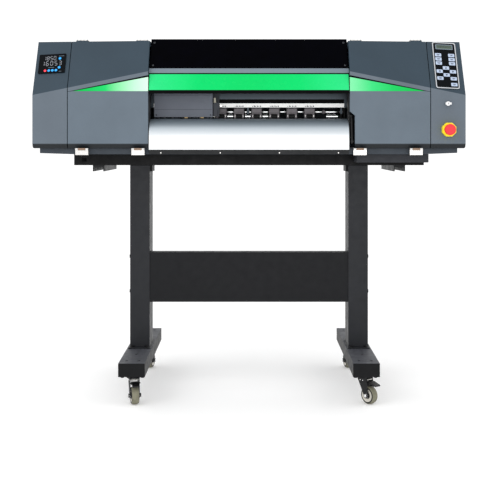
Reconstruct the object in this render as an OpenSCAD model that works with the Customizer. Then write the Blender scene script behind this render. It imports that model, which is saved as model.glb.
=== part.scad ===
// Roll-fed printer cutter on a two-leg stand with swivel casters.
// Units are millimetres. X runs to the machine's right, Y to its back and
// Z up. The origin is on the floor, midway between the four casters.

/* [Housing] */
// Width over both end caps
body_w = 1583; // [1400:1:1800]
// Distance from the middle plane to the door fronts
front_d = 234; // [210:1:260]
// Distance from the middle plane to the rear panel
rear_d = 234; // [210:1:260]
// Height of the housing underside above the floor
house_z = 920; // [880:1:960]
// Height of the flat housing top
top_z = 1319; // [1280:1:1360]
// Thickness of the moulded covers
wall = 3; // [2:0.5:5]
// Half width of the media opening
open_x = 366; // [340:1:390]
// Seam between the doors and the end caps
seam_x = 665; // [640:1:690]
// Width of the seam between doors and end caps
seam_gap = 2.6; // [1:0.1:4]
// Radius of the end caps' lower outer corner
corner_r = 6; // [2:0.5:8]
// Height of the sloping crease at the opening
crease_z = 1202; // [1190:1:1215]
// Fall of the crease per millimetre outwards
crease_fall = 0.205; // [0.1:0.005:0.25]
// Lean of the upper faces, back per millimetre up
lean = 0.52; // [0.3:0.01:0.7]
// Height of the chamfer along the housing's foot
chamfer_h = 17; // [10:1:25]
// Depth of the same chamfer
chamfer_d = 8; // [4:1:14]

/* [Doors and lid] */
// Height of the door's level upper edge
door_z = 1129; // [1110:1:1140]
// Depth of the turned-in edges of doors and covers
return_d = 18; // [10:1:25]
// Half width of the centre lid
lid_x = 367.8; // [340:0.1:368]
// Height of the lid's lower edge
lid_z = 1133; // [1130:1:1140]
// Height where the green band meets the grey trim
band_z = 1197; // [1190:1:1200]
// Height where the grey trim meets the black window
trim_z = 1214; // [1208:1:1220]
// Height of the black window's upper edge
window_z = 1331; // [1328:1:1333]

/* [Stand] */
// Distance from the middle to each column centre
column_x = 418; // [380:1:450]
// Column width across the machine
column_w = 75; // [60:1:90]
// Column depth
column_d = 122; // [100:1:140]
// Height of the column tops
column_z = 854; // [800:1:880]
// Foot length front to back
foot_l = 660; // [560:2:700]
// Foot width
foot_w = 95; // [80:1:110]
// Foot tube height
foot_h = 49; // [40:1:60]
// Steel wall of the stand tubes
tube = 3; // [2:0.5:5]
// Radius of the anchor holes through the feet
anchor_r = 4.5; // [3:0.5:7]
// Distance of the anchor holes from the middle
anchor_y = 182; // [150:1:220]
// Lower edge of the crossbar
bar_z = 330; // [280:1:400]
// Crossbar height
bar_h = 191; // [120:1:220]

/* [Casters] */
// Wheel radius
wheel_r = 31.5; // [25:0.5:40]
// Wheel tread width
wheel_w = 28; // [20:1:34]
// Height from the floor to the top of the mounting plate
caster_h = 107; // [95:1:120]
// Distance of the swivel pins from the middle
swivel_y = 262; // [230:1:270]
// Trail of the axle behind the swivel pin
trail = 24; // [15:1:30]
// Heading of the front left caster
head_fl = 285; // [0:1:359]
// Heading of the front right caster
head_fr = 311; // [0:1:359]
// Heading of the rear left caster
head_rl = 80; // [0:1:359]
// Heading of the rear right caster
head_rr = 100; // [0:1:359]

/* [Media path] */
// Height of the platen surface
platen_z = 1030; // [1020:1:1035]
// Feed roller radius at the grit bands
grit_r = 12.5; // [10:0.5:15]
// Pinch wheel radius
pinch_r = 9; // [7:0.5:10]
// Spacing of the pinch wheels
pinch_pitch = 67; // [60:1:70]
// Distance in front of the middle to the nip line
nip_y = 78; // [70:1:84]
// Radius of the timing pulleys
pulley_r = 10; // [8:0.5:12]

/* [Controls] */
// Radius of the stop button's mushroom head
estop_r = 20; // [15:0.5:22]
// Keypad width
keypad_w = 89; // [70:1:92]
// Keypad height along the slope
keypad_h = 200; // [160:1:202]

/* [Hidden] */
$fn = 40;
run = 0.05;
half_w = body_w / 2;
front_y = -front_d;
lean_turn = atan(lean * crease_fall);
lean_tilt = atan2(sqrt(1 + pow(lean * crease_fall, 2)), lean);
cover_in = open_x + 3;
cover_out = seam_x - seam_gap;
strip_y = -133.2;
cover_pin = [-125, 1323.8];
cover_knuckle_r = 4.4;
lid_pin = [-104, 1324.2];
lid_knuckle_r = 4.4;
door_pin = [-240, 917];
cover_hinge_x = [401, 626];
door_hinge_x = [405, 610];
lid_hinge_x = [-250, 250];
pinch_xs = [for (i = [0:8]) 230 - i * pinch_pitch];
roller_z = platen_z + 0.1 - grit_r;
pinch_y = -nip_y;
pinch_z = platen_z + 0.5 + pinch_r;
lift_y = -66;
lift_z = 1058;
lever_pin = [-195, 1040];
pulley_x = 630;
pulley_z = 1172;
estop_x = 728;
estop_z = 988;
key_x = 726;
key_z = 1083;
blade_x = -129;
blade_y = -122;
shaft_y = 282;
shaft_z = 892;
foot_top = caster_h + foot_h;

// ---------------------------------------------------------------- helpers

// Box given by its limits on each axis.
module box(x, y, z) {
    translate([x[0], y[0], z[0]])
        cube([x[1] - x[0], y[1] - y[0], z[1] - z[0]]);
}

// Round bar along X between two stations.
module rod_x(x, y, z, r) {
    translate([x[0], y, z])
        rotate([0, 90, 0])
            cylinder(h = x[1] - x[0], r = r);
}

// Round bar along Y between two stations.
module rod_y(x, y, z, r) {
    translate([x, y[1], z])
        rotate([90, 0, 0])
            cylinder(h = y[1] - y[0], r = r);
}

// Round bar along Z between two stations.
module rod_z(x, y, z, r) {
    translate([x, y, z[0]])
        cylinder(h = z[1] - z[0], r = r);
}

// Profile drawn in Y and Z, extruded along X.
module along_x(x) {
    translate([x[0], 0, 0])
        rotate([90, 0, 90])
            linear_extrude(x[1] - x[0])
                children();
}

// Profile drawn in X and Z, extruded along Y.
module along_y(y) {
    translate([0, y[1], 0])
        rotate([90, 0, 0])
            linear_extrude(y[1] - y[0])
                children();
}

// The child and its mirror image across the middle plane.
module both_sides() {
    children();
    mirror([1, 0, 0])
        children();
}

// Place children on the leaning face of the right end cap: X level, Y up
// the slope, Z outwards, at machine position x and height z.
module on_lean(x, z) {
    edge_z = crease_z - crease_fall * (x - open_x);
    translate([x, front_y + lean * (z - edge_z), z])
        rotate([lean_tilt, 0, lean_turn])
            children();
}

// The same place, turned a little in the plane of the face, as both
// control panels are.
module on_panel(x, z) {
    on_lean(x, z)
        rotate([0, 0, -3])
            children();
}

// Plate with rounded corners, centred, standing on Z = 0.
module round_plate(w, h, t, r) {
    linear_extrude(t)
        union() {
            square([w - 2 * r, h], center = true);
            square([w, h - 2 * r], center = true);
            for (sx = [-1, 1], sy = [-1, 1])
                translate([sx * (w / 2 - r), sy * (h / 2 - r)])
                    circle(r);
        }
}

// ---------------------------------------------------------------- housing

// Everything in front of the leaning upper face, set inwards by skin.
module above_lean(skin) {
    on_lean(open_x, crease_z)
        translate([-300, -250, -skin])
            cube([1000, 700, 300]);
}

// Solid housing section between two stations, shrunk all round by skin.
module house_block(x, skin) {
    difference() {
        along_x(x)
            polygon([
                [front_y + skin, house_z + chamfer_h],
                [front_y + chamfer_d + skin, house_z + skin],
                [rear_d - skin, house_z + skin],
                [rear_d - skin, top_z - skin],
                [front_y + skin, top_z - skin]]);
        above_lean(skin);
    }
}

// Moulded end housing, open towards the middle, its lower corner rounded.
module end_cap_shell() {
    difference() {
        house_block([seam_x, half_w], 0);
        house_block([seam_x - 20, half_w - wall], wall);
        difference() {
            box([half_w - corner_r, half_w + 1], [-240, 240],
                [house_z - 1, house_z + corner_r]);
            rod_y(half_w - corner_r, [-241, 241], house_z + corner_r,
                corner_r);
        }
    }
}

module end_cap_left() {
    color([0.36, 0.4, 0.44])
        mirror([1, 0, 0])
            end_cap_shell();
}

// The right cap also carries the stop button, key switch and power inlet.
module end_cap_right() {
    color([0.36, 0.4, 0.44])
        difference() {
            union() {
                end_cap_shell();
                rod_y(key_x, [front_y - 3, front_y + 1], key_z, 9.5);
            }
            rod_y(estop_x, [front_y - 1, front_y + 6], estop_z, 11.5);
            rod_y(key_x, [front_y - 4, front_y + 6], key_z, 7 + run);
            box([704, 748], [rear_d - 6, rear_d + 1], [962, 990]);
        }
}

// Bent sheet closing the back and the rear half of the top.
module rear_cover() {
    lid_edge = -112;
    color([0.3, 0.33, 0.37])
        difference() {
            union() {
                box([-seam_x, seam_x], [rear_d - wall, rear_d],
                    [house_z, top_z]);
                box([-seam_x, seam_x], [-132, rear_d],
                    [top_z - wall, top_z]);
            }
            box([-lid_x - 1, lid_x + 1], [-140, lid_edge],
                [top_z - wall - 1, top_z + 1]);
            // media entry slot
            box([-350, 350], [rear_d - wall - 1, rear_d + 1], [975, 1012]);
            // ventilation slots
            for (i = [0:9], s = [-1, 1])
                box([s * 515 - 60, s * 515 + 60],
                    [rear_d - wall - 1, rear_d + 1],
                    [1060 + i * 16, 1066 + i * 16]);
        }
}

// Shallow pan that carries the whole head, tapered under its ends.
module base_tray() {
    z0 = house_z - 22;
    color([0.27, 0.3, 0.33])
        difference() {
            along_y([-215, 215])
                polygon([[-768, house_z], [-768, z0 + 4], [-640, z0],
                    [640, z0], [765, z0 + 5], [765, house_z]]);
            along_y([-212, 212])
                polygon([[-765, house_z - 3], [-765, z0 + 7],
                    [-640, z0 + 3], [640, z0 + 3], [762, z0 + 8],
                    [762, house_z - 3]]);
        }
}

// Open box for waste ink, hung under the right of the tray.
module waste_tray() {
    color([0.4, 0.42, 0.45])
        difference() {
            box([399, 665], [-185, -65], [867, house_z - 22]);
            box([402, 662], [-182, -68], [870, house_z - 21]);
        }
}

// Steel frame plate beside the media opening, with the carriage window.
module side_plate() {
    difference() {
        along_x([open_x, open_x + 4])
            polygon([[-205, house_z], [200, house_z], [200, 1290],
                [-118, 1290], [-205, 1175]]);
        box([open_x - 1, open_x + 5], [-152, -25], [platen_z - 2, 1195]);
        rod_x([open_x - 1, open_x + 5], pinch_y, roller_z, 6 + run);
    }
}

module side_plate_left() {
    color([0.1, 0.1, 0.11])
        mirror([1, 0, 0])
            side_plate();
}

// The right plate also carries the pivot of the pinch lift lever.
module side_plate_right() {
    color([0.1, 0.1, 0.11]) {
        side_plate();
        rod_x([open_x + 3, open_x + 7.5], lever_pin[0], lever_pin[1], 8);
        rod_x([open_x + 3, open_x + 15], lever_pin[0], lever_pin[1], 3);
    }
}

// ---------------------------------------------------------------- covers

// Cover-side knuckle of one top hinge.
module cover_knuckle(x) {
    difference() {
        union() {
            box([x - 20, x + 20], [-144, cover_pin[0]],
                [top_z + 0.4, top_z + 4]);
            box([x - 20, x + 20], [-144, -134], [top_z - 1, top_z + 1]);
            rod_x([x - 20, x + 20], cover_pin[0], cover_pin[1],
                cover_knuckle_r);
        }
        rod_x([x - 21, x + 21], cover_pin[0], cover_pin[1], 2.5 + run);
    }
}

// Leaning cover with a short upright lip below the crease.
module upper_cover() {
    lip = 14;
    difference() {
        intersection() {
            house_block([cover_in, cover_out], 0);
            translate([open_x, front_y - 1, crease_z - lip])
                rotate([0, atan(crease_fall), 0])
                    translate([-60, 0, 0])
                        cube([560, strip_y - front_y + 1, 300]);
        }
        house_block([cover_in + wall, cover_out - wall], wall);
        house_block([cover_in - 1, cover_out + 1], return_d);
    }
    for (x = cover_hinge_x)
        cover_knuckle(x);
}

module upper_cover_left() {
    color([0.28, 0.33, 0.37])
        mirror([1, 0, 0])
            upper_cover();
}

module upper_cover_right() {
    color([0.28, 0.33, 0.37])
        upper_cover();
}

// Height of the gap line under the crease, at station x.
function gap_z(x) = crease_z - 20.5 - 0.187 * (x - open_x);
// Station where the gap line meets the level door edge.
gap_x = open_x + (crease_z - 20.5 - door_z) / 0.187;

// Front outline of a door, shrunk by e; notch leaves room for the lever.
module door_outline(e, notch) {
    foot_x = notch ? 387.5 : cover_in;
    polygon([[foot_x + e, house_z - 5], [cover_out - e, house_z - 5],
        [cover_out - e, gap_z(cover_out) - e], [gap_x, door_z - e],
        [cover_in + e, door_z - e], [cover_in + e, 1055 + e / 2],
        [foot_x + e, 1040 + e / 2]]);
}

// Door section: upright front with the chamfered foot.
module door_section(skin) {
    foot_z = house_z + 0.6;
    along_x([open_x, seam_x])
        polygon([[front_y + skin, door_z + 5],
            [front_y + skin, house_z + chamfer_h],
            [front_y + chamfer_d + skin, foot_z + skin],
            [front_y + return_d + (skin > 0 ? 1 : 0), foot_z + skin],
            [front_y + return_d + (skin > 0 ? 1 : 0), door_z + 5]]);
}

// Door-side knuckle and leaf of one bottom hinge.
module door_knuckle(x) {
    difference() {
        union() {
            box([x - 13.5, x + 13.5], [door_pin[0], front_y + return_d - 1],
                [door_pin[1] + 0.5, house_z + 0.6]);
            rod_x([x - 13.5, x + 13.5], door_pin[0], door_pin[1], 4);
        }
        rod_x([x - 15, x + 15], door_pin[0], door_pin[1], 2 + run);
    }
}

module door(notch) {
    difference() {
        intersection() {
            door_section(0);
            along_y([front_y - 1, -200])
                door_outline(0, notch);
        }
        intersection() {
            door_section(wall);
            along_y([front_y - 1, -200])
                door_outline(wall, notch);
        }
    }
    for (x = door_hinge_x)
        door_knuckle(x);
}

module door_left() {
    color([0.47, 0.51, 0.55])
        mirror([1, 0, 0])
            door(false);
}

module door_right() {
    color([0.47, 0.51, 0.55])
        door(true);
}

// Green triangular cap standing on the door's level edge.
module wedge() {
    e = wall;
    difference() {
        along_y([front_y, front_y + return_d])
            polygon([[cover_in, door_z], [gap_x - 4, door_z],
                [cover_in, gap_z(cover_in) - 0.5]]);
        along_y([front_y + e, front_y + return_d + 1])
            polygon([[cover_in + e, door_z + e],
                [gap_x - 4 - 6 * e, door_z + e],
                [cover_in + e, gap_z(cover_in) - 0.5 - 1.7 * e]]);
    }
}

module wedge_left() {
    color([0.02, 0.84, 0.41])
        mirror([1, 0, 0])
            wedge();
}

module wedge_right() {
    color([0.02, 0.84, 0.41])
        wedge();
}

// Slanted green band along the lid's lower edge.
module lid_band() {
    color([0.02, 0.84, 0.41])
        along_x([-lid_x + 2, lid_x - 2])
            polygon([[-234, lid_z], [-207, band_z], [-202.6, band_z],
                [-229.6, lid_z]]);
}

// Black hand lip under the green band.
module lid_lip() {
    color([0.04, 0.04, 0.05])
        along_x([-lid_x, lid_x])
            polygon([[-234, lid_z - 13], [-234, lid_z], [-229.6, lid_z],
                [-222, lid_z - 5], [-222, lid_z - 8],
                [-230, lid_z - 13]]);
}

// Grey trim strip and the hinge rail behind the window's upper edge.
module lid_trim() {
    color([0.55, 0.58, 0.64]) {
        along_x([-lid_x, lid_x])
            polygon([[-207, band_z], [-205, trim_z], [-197.5, trim_z],
                [-200, band_z]]);
        difference() {
            union() {
                along_x([-lid_x, lid_x])
                    polygon([[-109.5, window_z], [-116.26, 1322],
                        [-103, 1322], [-103, window_z]]);
                for (x = lid_hinge_x)
                    rod_x([x - 20, x + 20], lid_pin[0], lid_pin[1],
                        lid_knuckle_r);
            }
            for (x = lid_hinge_x) {
                for (s = [-1, 1])
                    box([x + s * 22.5 - 2.5, x + s * 22.5 + 2.5],
                        [-120, -90], [1320, 1340]);
                rod_x([x - 21, x + 21], lid_pin[0], lid_pin[1], 2.5 + run);
            }
        }
    }
}

// Black window panel of the lid with its four screw holes.
module lid_window() {
    color([0.02, 0.02, 0.03])
        along_x([-lid_x, lid_x])
            polygon([[-205, trim_z], [-117, window_z], [-109.5, window_z],
                [-197.5, trim_z]]);
}

// Fixed half of a top hinge: pin, two ears and a leaf on the deck.
module top_hinge(x, pin, nose) {
    rod_x([x - 24, x + 24], pin[0], pin[1], 2.5);
    for (s = [-1, 1])
        translate([x + s * 22.3, 0, 0]) {
            rod_x([-1.7, 1.7], pin[0], pin[1], nose);
            box([-1.7, 1.7], [pin[0], pin[0] + 26], [top_z, pin[1]]);
        }
    box([x - 24, x + 24], [pin[0] + 8, pin[0] + 34], [top_z, top_z + 2]);
}

// Fixed half of a door hinge: bracket under the tray, knuckles and pin.
module bottom_hinge(x) {
    y0 = door_pin[0];
    box([x - 23.5, x + 23.5], [y0, y0 + 2.5], [895.5, 912.4]);
    box([x - 23.5, x + 23.5], [y0, -200], [895.5, house_z - 22]);
    for (s = [-1, 1])
        translate([x + s * 18.8, 0, 0]) {
            box([-4.7, 4.7], [y0, y0 + 2.5], [912, door_pin[1]]);
            rod_x([-4.7, 4.7], y0, door_pin[1], 4);
        }
    rod_x([x - 23.5, x + 23.5], y0, door_pin[1], 2);
}

module hinge_leaves() {
    color([0.8, 0.79, 0.78]) {
        both_sides() {
            for (x = cover_hinge_x)
                top_hinge(x, cover_pin, 4.2);
            for (x = door_hinge_x)
                bottom_hinge(x);
        }
        for (x = lid_hinge_x)
            top_hinge(x, lid_pin, 4.4);
    }
}

// -------------------------------------------------------------- media path

// Flat platen with roller slots, curving down to the rear entry.
module platen() {
    z0 = platen_z;
    color([0.5, 0.53, 0.56])
        difference() {
            along_x([-open_x, open_x])
                polygon([[-150, z0], [90, z0], [140, z0 - 5],
                    [185, z0 - 18], [228, z0 - 38], [226, z0 - 43],
                    [183, z0 - 24], [138, z0 - 12], [90, z0 - 8],
                    [-150, z0 - 8]]);
            box([-open_x - 1, open_x + 1], [-96, -60], [z0 - 9, z0 - 3]);
            for (x = pinch_xs)
                box([x - 22, x + 22], [-94, -62], [z0 - 9, z0 + 1]);
        }
}

// Heated apron: upright in front, curving back up to the platen.
module apron() {
    steps = 20;
    outer = [for (i = [0:steps])
        let (a = 90 * i / steps) [-150 - 88 * cos(a), 963 + 67 * sin(a)]];
    inner = [for (i = [steps:-1:0])
        let (a = 90 * i / steps) [-150 - 86 * cos(a), 963 + 65 * sin(a)]];
    color([0.86, 0.87, 0.88])
        along_x([-open_x + 0.5, open_x - 0.5])
            polygon(concat([[-238, 915]], outer, inner,
                [[-236, 917], [-215, 917], [-215, 915]]));
}

// Narrow black strip under the apron.
module front_strip() {
    color([0.16, 0.17, 0.19])
        along_x([-open_x + 0.5, open_x - 0.5])
            polygon([[front_y, 899], [front_y, 914], [front_y + 3, 914],
                [front_y + 3, 902], [-215, 902], [-215, 899]]);
}

// Extruded guide beam with the carriage rail, label strip and hangers.
module guide_beam() {
    color([0.42, 0.44, 0.47]) {
        difference() {
            box([-655, 655], [-85, -25], [1074, 1190]);
            box([-656, 656], [-79, -31], [1080, 1184]);
            box([-656, 656], [-86, -83], [1090, 1106]);
        }
        box([-650, 650], [-93, -85], [1135, 1150]);
        for (x = [-335, -4, 352])
            difference() {
                box([x - 3, x + 3], [-74, -58], [1050, 1074]);
                rod_x([x - 4, x + 4], lift_y, lift_z, 4 + run);
            }
        // pins for the two timing pulleys
        for (s = [-1, 1])
            rod_y(s * pulley_x, [-97, -85], pulley_z, 3);
    }
}

// Driven roller under the platen with raised grit bands.
module feed_roller() {
    color([0.55, 0.56, 0.58]) {
        rod_x([-384, 384], pinch_y, roller_z, 6);
        rod_x([-open_x + 2, open_x - 2], pinch_y, roller_z, 8);
        for (x = pinch_xs)
            rod_x([x - 20, x + 20], pinch_y, roller_z, grit_r);
    }
}

// Row of forked pinch blocks on one lifting shaft.
module pinch_arms() {
    color([0.45, 0.46, 0.49])
        difference() {
            union() {
                rod_x([-345, 359], lift_y, lift_z, 4);
                rod_x([281, 290], lift_y, lift_z, 8);
                for (x = pinch_xs)
                    along_x([x - 19, x + 19])
                        polygon([[-93, 1054], [-89, 1052], [-87, 1033.5],
                            [-70, 1033.5], [-58, 1046], [-58, 1070],
                            [-93, 1070]]);
            }
            for (x = pinch_xs) {
                box([x - 12, x + 12], [-94, -68.5], [1032, 1049.6]);
                rod_x([x - 16, x + 16], pinch_y, pinch_z, 2.5 + run);
            }
        }
}

// Nine rubber pinch wheels with their short axles.
module pinch_wheels() {
    color([0.2, 0.2, 0.21])
        for (x = pinch_xs) {
            rod_x([x - 11, x + 11], pinch_y, pinch_z, pinch_r);
            rod_x([x - 15.5, x + 15.5], pinch_y, pinch_z, 2.5);
        }
}

// Hand lever in the gap beside the right door that lifts the pinch row.
module lift_lever() {
    y = lever_pin[0];
    z = lever_pin[1];
    color([0.12, 0.12, 0.13])
        difference() {
            union() {
                along_x([374, 380])
                    union() {
                        polygon([[y - 8, z + 2], [y - 27, 950],
                            [y - 27, 938], [y - 17, 938], [y - 15, 950],
                            [y + 8, z]]);
                        translate([y, z])
                            circle(9);
                    }
                rod_x([373, 383], y - 22, 945, 6);
            }
            rod_x([373, 381], y, z, 3 + run);
        }
}

// ---------------------------------------------------------------- carriage

// Rail block, back plate, base plate and cutter bracket of the carriage.
module carriage_plate() {
    color([0.3, 0.31, 0.33])
        difference() {
            union() {
                box([-350, -112], [-101, -97.5], [1040, 1155]);
                box([-330, -160], [-98, -87.5], [1124, 1157]);
                box([-350, -142], [-141, -101], [1046, 1049]);
                // cutter bracket: block, drilled face plate and knob
                box([-135.5, -112], [-136, -101], [1068, 1086]);
                box([-133, -112], [-139, -136], [1039, 1090]);
                box([-112.5, -100], [-136, -133], [1074, 1084]);
                rod_y(-105, [-145, -133], 1079, 4);
                // belt clamp
                box([-250, -240], [-98, -87.5], [1156, 1168]);
            }
            box([-331, -159], [-93.4, -86], [1134.6, 1150.4]);
            for (x = [-236, -176])
                box([x - 7, x + 7], [-136, -108], [1045, 1050]);
            rod_z(blade_x, blade_y, [1067, 1087], 4.5 + run);
            for (z = [1046, 1054, 1062])
                rod_y(-117, [-140, -135], z, 2);
            box([-251, -239], [-95.2, -87],
                [pulley_z - 12.5, pulley_z - 9.5]);
        }
}

// Moulded box over the print heads.
module carriage_cover() {
    color([0.36, 0.39, 0.42])
        difference() {
            box([-355, -136.5], [-145, -102], [1036, 1168]);
            box([-352.5, -139], [-142.5, -100], [1035, 1165.5]);
        }
}

// Print head block seated in the base plate.
module print_head() {
    color([0.7, 0.58, 0.3]) {
        for (x = [-236, -176])
            box([x - 6, x + 6], [-135, -109], [1033, 1060]);
        box([-252, -160], [-139, -104], [1049, 1090]);
    }
}

// Cutter holder with the blade tip below and a cream cap on top.
module blade_holder() {
    color([0.9, 0.88, 0.8]) {
        rod_z(blade_x, blade_y, [1046, 1100], 4.5);
        rod_z(blade_x, blade_y, [1100, 1109], 3.5);
        translate([blade_x, blade_y, 1034.5])
            cylinder(h = 11.5, r1 = 0.6, r2 = 3.5);
        rod_z(blade_x, blade_y, [1090.5, 1094], 5.8);
    }
}

// Closed toothless outline of the timing belt round both pulleys.
module timing_belt() {
    r0 = pulley_r + 0.4;
    r1 = r0 + 1.6;
    color([0.08, 0.08, 0.09])
        along_y([-94.5, -88.5])
            difference() {
                union() {
                    translate([-pulley_x, pulley_z - r1])
                        square([2 * pulley_x, 2 * r1]);
                    for (s = [-1, 1])
                        translate([s * pulley_x, pulley_z])
                            circle(r1);
                }
                translate([-pulley_x, pulley_z - r0])
                    square([2 * pulley_x, 2 * r0]);
                for (s = [-1, 1])
                    translate([s * pulley_x, pulley_z])
                        circle(r0);
            }
}

module pulley(x) {
    difference() {
        union() {
            rod_y(x, [-94.5, -88.5], pulley_z, pulley_r);
            rod_y(x, [-95.6, -94.8], pulley_z, pulley_r + 1.5);
            rod_y(x, [-95.6, -94], pulley_z, pulley_r - 1);
        }
        rod_y(x, [-98, -88], pulley_z, 3 + run);
        for (a = [0:60:300])
            translate([x, 0, pulley_z])
                rotate([0, a, 0])
                    rod_y(6.6, [-98, -88], 0, 1.4);
    }
}

module drive_pulley() {
    color([0.7, 0.7, 0.72])
        pulley(pulley_x);
}

module idler_pulley() {
    color([0.7, 0.7, 0.72])
        pulley(-pulley_x);
}

// ---------------------------------------------------------------- controls

// Membrane keypad: bezel, field and raised key domes on the leaning face.
module keypad_panel() {
    color([0.75, 0.78, 0.82])
        on_panel(728, 1226)
            difference() {
                round_plate(keypad_w, keypad_h, 3, 8);
                translate([0, 0, 2.2])
                    round_plate(keypad_w - 9, keypad_h - 9, 2, 5);
                translate([0, keypad_h / 2 - 20.5, 1])
                    round_plate(58, 15, 3, 1.5);
            }
}

module lcd_window() {
    color([0.47, 0.55, 0.43])
        on_panel(728, 1226)
            translate([0, keypad_h / 2 - 20.5, 1])
                round_plate(57, 14, 1, 1);
}

// Temperature controller on the leaning face of the left end cap.
module temp_panel() {
    color([0.03, 0.03, 0.04])
        mirror([1, 0, 0])
            on_panel(729, 1232)
                round_plate(100, 81, 4, 2);
}

// Octagonal yellow shroud of the stop button.
module estop_collar() {
    color([0.98, 0.88, 0.05])
        translate([estop_x, front_y, estop_z])
            rotate([90, 22.5, 0])
                difference() {
                    cylinder(h = 22, r = 27, $fn = 8);
                    translate([0, 0, -1])
                        cylinder(h = 24, r = 11);
                }
}

// Red mushroom head on its stem.
module estop_button() {
    color([0.85, 0.08, 0.1])
        difference() {
            union() {
                rod_y(estop_x, [-273, -262], estop_z, estop_r);
                rod_y(estop_x, [-276, -273], estop_z, estop_r - 2.5);
                rod_y(estop_x, [-263, -224], estop_z, 10.95);
            }
            rod_y(estop_x, [-258, -220], estop_z, 5);
        }
}

// Rotary key switch with a flat grip.
module key_switch() {
    color([0.75, 0.75, 0.76])
        union() {
            rod_y(key_x, [-240, -220], key_z, 7);
            rod_y(key_x, [-243, -237.4], key_z, 8);
            box([key_x - 11, key_x + 11], [-250, -242],
                [key_z - 4, key_z + 4]);
        }
}

// Appliance inlet in the back of the right end cap.
module power_inlet() {
    color([0.05, 0.05, 0.06])
        difference() {
            union() {
                box([704, 748], [rear_d - 20, rear_d + 1], [962, 990]);
                box([698, 754], [rear_d, rear_d + 3], [956, 996]);
            }
            box([713, 739], [rear_d - 16, rear_d + 4], [967, 985]);
            for (x = [730, 722])
                box([x - 18, x - 16], [rear_d, rear_d + 4], [958, 959]);
        }
}

// ------------------------------------------------------------------- stand

module foot(x) {
    difference() {
        box([x - foot_w / 2, x + foot_w / 2], [-foot_l / 2, foot_l / 2],
            [caster_h, foot_top]);
        box([x - foot_w / 2 + tube, x + foot_w / 2 - tube],
            [-foot_l / 2 + tube, foot_l / 2 - tube],
            [caster_h + tube, foot_top - tube]);
        for (s = [-1, 1]) {
            rod_z(x, s * anchor_y, [caster_h - 1, foot_top + 1], anchor_r);
            for (t = [-22, 22])
                rod_z(x + t, s * 287, [foot_top - tube - 1, foot_top + 1],
                    5);
        }
    }
}

module foot_left() {
    color([0.2, 0.21, 0.23])
        foot(-column_x);
}

module foot_right() {
    color([0.2, 0.21, 0.23])
        foot(column_x);
}

// Rectangular column with welded plates at both ends.
module column(x) {
    w = column_w / 2;
    d = column_d / 2;
    difference() {
        union() {
            box([x - w, x + w], [-d, d], [foot_top, column_z]);
            box([x - w - 4, x + w + 4], [-d - 26, d + 26],
                [foot_top, foot_top + 5]);
        }
        box([x - w + tube, x + w - tube], [-d + tube, d - tube],
            [foot_top + 5, column_z - 5]);
    }
}

module column_left() {
    color([0.2, 0.21, 0.23])
        column(-column_x);
}

module column_right() {
    color([0.2, 0.21, 0.23])
        column(column_x);
}

// Folded channel between the columns.
module crossbar() {
    x1 = column_x - column_w / 2;
    color([0.18, 0.19, 0.2])
        difference() {
            box([-x1, x1], [-58, -10], [bar_z, bar_z + bar_h]);
            box([-x1 + tube, x1 - tube], [-58 + tube, -9],
                [bar_z + tube, bar_z + bar_h - tube]);
        }
}

// Wide tube under the tray, with a small gusset inside each column.
module stand_beam() {
    z1 = house_z - 22;
    x1 = column_x - column_w / 2;
    color([0.15, 0.16, 0.17]) {
        difference() {
            box([-670, 670], [-61, 59], [column_z, z1]);
            box([-671, 671], [-61 + tube, 59 - tube],
                [column_z + tube, z1 - tube]);
            box([-640, -622], [-62, -57], [868, 882]);
        }
        both_sides()
            box([x1 - 9, x1], [-45, 45], [column_z - 24, column_z]);
    }
}

// Hexagon or dome bolt heads of the stand, each resting on its surface.
module stand_bolts() {
    w = column_w / 2;
    color([0.5, 0.51, 0.53])
        both_sides() {
            for (z = [369, 503], y = [-34, 20])
                rod_x([column_x + w, column_x + w + 5], y, z, 7);
            for (s = [-1, 1], y = [-76, 76])
                rod_z(column_x + s * 26, y, [foot_top + 5, foot_top + 10],
                    7);
            for (s = [-1, 1], y = [-300, -224, 224, 300])
                rod_z(column_x + s * 36, y,
                    [caster_h - 9, caster_h - 4], 6);
            rod_y(523, [-63, -61], 890, 2.5);
        }
}

// Four mounting plates with their king pins.
module caster_plates() {
    color([0.35, 0.36, 0.38])
        for (sx = [-1, 1], sy = [-1, 1])
            translate([sx * column_x, sy * swivel_y, 0]) {
                box([-46, 46], [-50, 50], [caster_h - 4, caster_h]);
                rod_z(0, 0, [caster_h - 14, caster_h - 3], 6);
                rod_z(0, 0, [caster_h - 17, caster_h - 14], 9);
            }
}

// ----------------------------------------------------------------- casters

// Place a child drawn with its trail along +X at one caster position.
module at_caster(sx, sy, heading) {
    translate([sx * column_x, sy * swivel_y, 0])
        rotate([0, 0, heading])
            children();
}

// Swivel fork with its axle bolt; the pedal pin only on braked casters.
module caster_yoke(braked) {
    top = caster_h - 4.5;
    cheek = wheel_w / 2 + 2.5;
    color([0.12, 0.12, 0.13])
        difference() {
            union() {
                rod_z(0, 0, [top - 7, top], 27);
                for (s = [-1, 1])
                    translate([0, s * cheek, 0])
                        along_y([-1.4, 1.4])
                            union() {
                                polygon([[-24, top - 1], [24, top - 1],
                                    [trail + 9, wheel_r + 3],
                                    [trail - 9, wheel_r - 3]]);
                                translate([trail, wheel_r])
                                    circle(10);
                            }
                rod_y(trail, [-cheek - 4, cheek + 4], wheel_r, 4);
                for (s = [-1, 1])
                    rod_y(trail, [s * (cheek + 4) - 2.6,
                        s * (cheek + 4) + 2.6], wheel_r, 7);
                if (braked)
                    rod_y(trail + 4, [-cheek - 3, cheek + 3], 76, 3);
            }
            rod_z(0, 0, [top - 20, top + 1], 6 + run);
            rod_z(0, 0, [top - 20, top - 6], 10);
        }
}

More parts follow.
